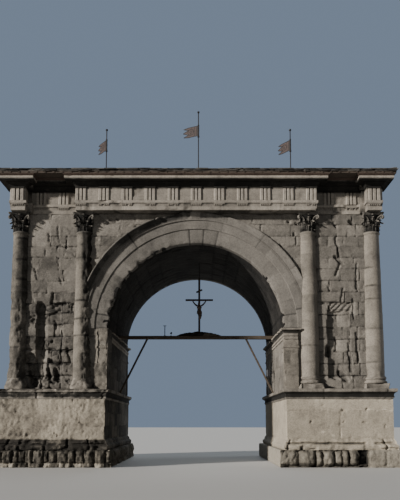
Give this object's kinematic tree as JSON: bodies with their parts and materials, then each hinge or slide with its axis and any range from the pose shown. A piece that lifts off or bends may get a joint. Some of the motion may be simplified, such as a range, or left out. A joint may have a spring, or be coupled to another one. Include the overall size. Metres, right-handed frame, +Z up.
{
  "type": "triumphal arch",
  "caption": "Single-bay triumphal arch of weathered masonry with engaged columns, a triglyph frieze, a low slate roof with banner vanes, and a crucifix on a beam across the vault.",
  "frame": {"origin": "ground level at the middle of the plan", "axes": "+Z up; the pictured front faces -Y, the passage runs along Y, +X is to the right seen from the front"},
  "size_m": [20.06, 10.7, 20.45],
  "materials": {
    "rough_stone": "rough weathered conglomerate blocks",
    "ashlar": "weathered conglomerate ashlar",
    "column_stone": "eroded conglomerate drums",
    "carved_stone": "weathered carved stone",
    "vault_stone": "weathered vault stones",
    "slate": "rough stone slates",
    "pole_iron": "dark forged iron",
    "vane_iron": "rusted sheet iron",
    "beam_wood": "weathered dark timber",
    "cross_wood": "dark timber",
    "figure": "painted carved wood",
    "plate": "pale painted board",
    "lamp_metal": "dark painted metal"
  },
  "bodies": {
    "arch": {"socle_left": "rough_stone", "socle_right": "rough_stone", "pedestal_left": "ashlar", "pedestal_right": "ashlar", "pedestal_cornice_left": "carved_stone", "pedestal_cornice_right": "carved_stone", "pier_left": "ashlar", "pier_right": "ashlar", "spandrel_left": "ashlar", "spandrel_right": "ashlar", "pilasters_left": "ashlar", "pilasters_right": "ashlar", "impost_left": "carved_stone", "impost_right": "carved_stone", "barrel_vault": "vault_stone", "archivolt_front": "carved_stone", "archivolt_back": "carved_stone", "columns_front_left": "column_stone", "columns_front_right": "column_stone", "columns_back_left": "column_stone", "columns_back_right": "column_stone", "column_side_left": "column_stone", "column_side_right": "column_stone", "column_bases_left": "carved_stone", "column_bases_right": "carved_stone", "capitals_left": "carved_stone", "capitals_right": "carved_stone", "architrave": "carved_stone", "frieze": "carved_stone", "triglyphs": "carved_stone", "cornice": "carved_stone", "roof": "slate", "pole_left": "pole_iron", "pole_middle": "pole_iron", "pole_right": "pole_iron", "beam": "beam_wood", "strut_left": "beam_wood", "strut_right": "beam_wood", "rock_mound": "rough_stone", "cross": "cross_wood", "titulus": "plate", "hanger_rod": "pole_iron", "corpus": "figure", "lamps": "lamp_metal"},
    "vane_left": {"vane_left": "vane_iron"},
    "vane_middle": {"vane_middle": "vane_iron"},
    "vane_right": {"vane_right": "vane_iron"}
  },
  "joints": [
    {"name": "vane_left_turn", "type": "hinge", "parent": "arch", "child": "vane_left", "pos_m": [-5.3, 0, 18.365], "axis": [0, 0, 1], "continuous": true},
    {"name": "vane_middle_turn", "type": "hinge", "parent": "arch", "child": "vane_middle", "pos_m": [0.1, 0, 19.245], "axis": [0, 0, 1], "continuous": true},
    {"name": "vane_right_turn", "type": "hinge", "parent": "arch", "child": "vane_right", "pos_m": [5.5, 0, 18.365], "axis": [0, 0, 1], "continuous": true}
  ]
}
